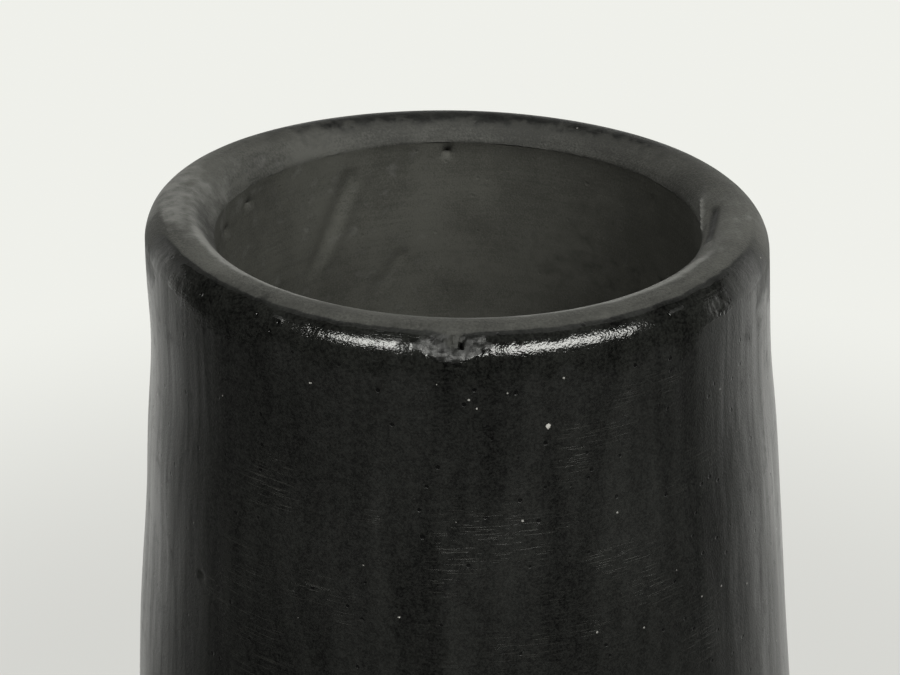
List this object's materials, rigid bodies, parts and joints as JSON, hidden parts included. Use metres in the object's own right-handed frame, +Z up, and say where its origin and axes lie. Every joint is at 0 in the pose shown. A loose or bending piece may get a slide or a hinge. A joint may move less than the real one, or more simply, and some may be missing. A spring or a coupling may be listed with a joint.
{
  "type": "black clay pot",
  "caption": "Coil-built burnished black clay pot: round belly, long tapering neck, thick rolled lip and a flat base to stand on.",
  "frame": {"origin": "centre of the flat resting face", "axes": "+Z up along the pot's axis, out of the mouth; -Y is the side of the lip's dent"},
  "size_m": [0.1766, 0.1766, 0.2359],
  "materials": {
    "burnished_clay": "smoke-fired black, stone-burnished outside, wiped and matte grey inside",
    "lip_clay": "smoke-fired black, half matte on top, burnished on the shoulder",
    "base_clay": "smoke-fired black, burnished side, matte scuffed resting face"
  },
  "bodies": {
    "root": {"base_patty": "base_clay", "lower_wall_course": "burnished_clay", "belly_course_lower": "burnished_clay", "belly_course_upper": "burnished_clay", "shoulder_course_lower": "burnished_clay", "shoulder_course_upper": "burnished_clay", "neck_root_course": "burnished_clay", "neck_middle_course": "burnished_clay", "neck_upper_course": "burnished_clay", "lip_coil": "lip_clay"}
  },
  "joints": []
}
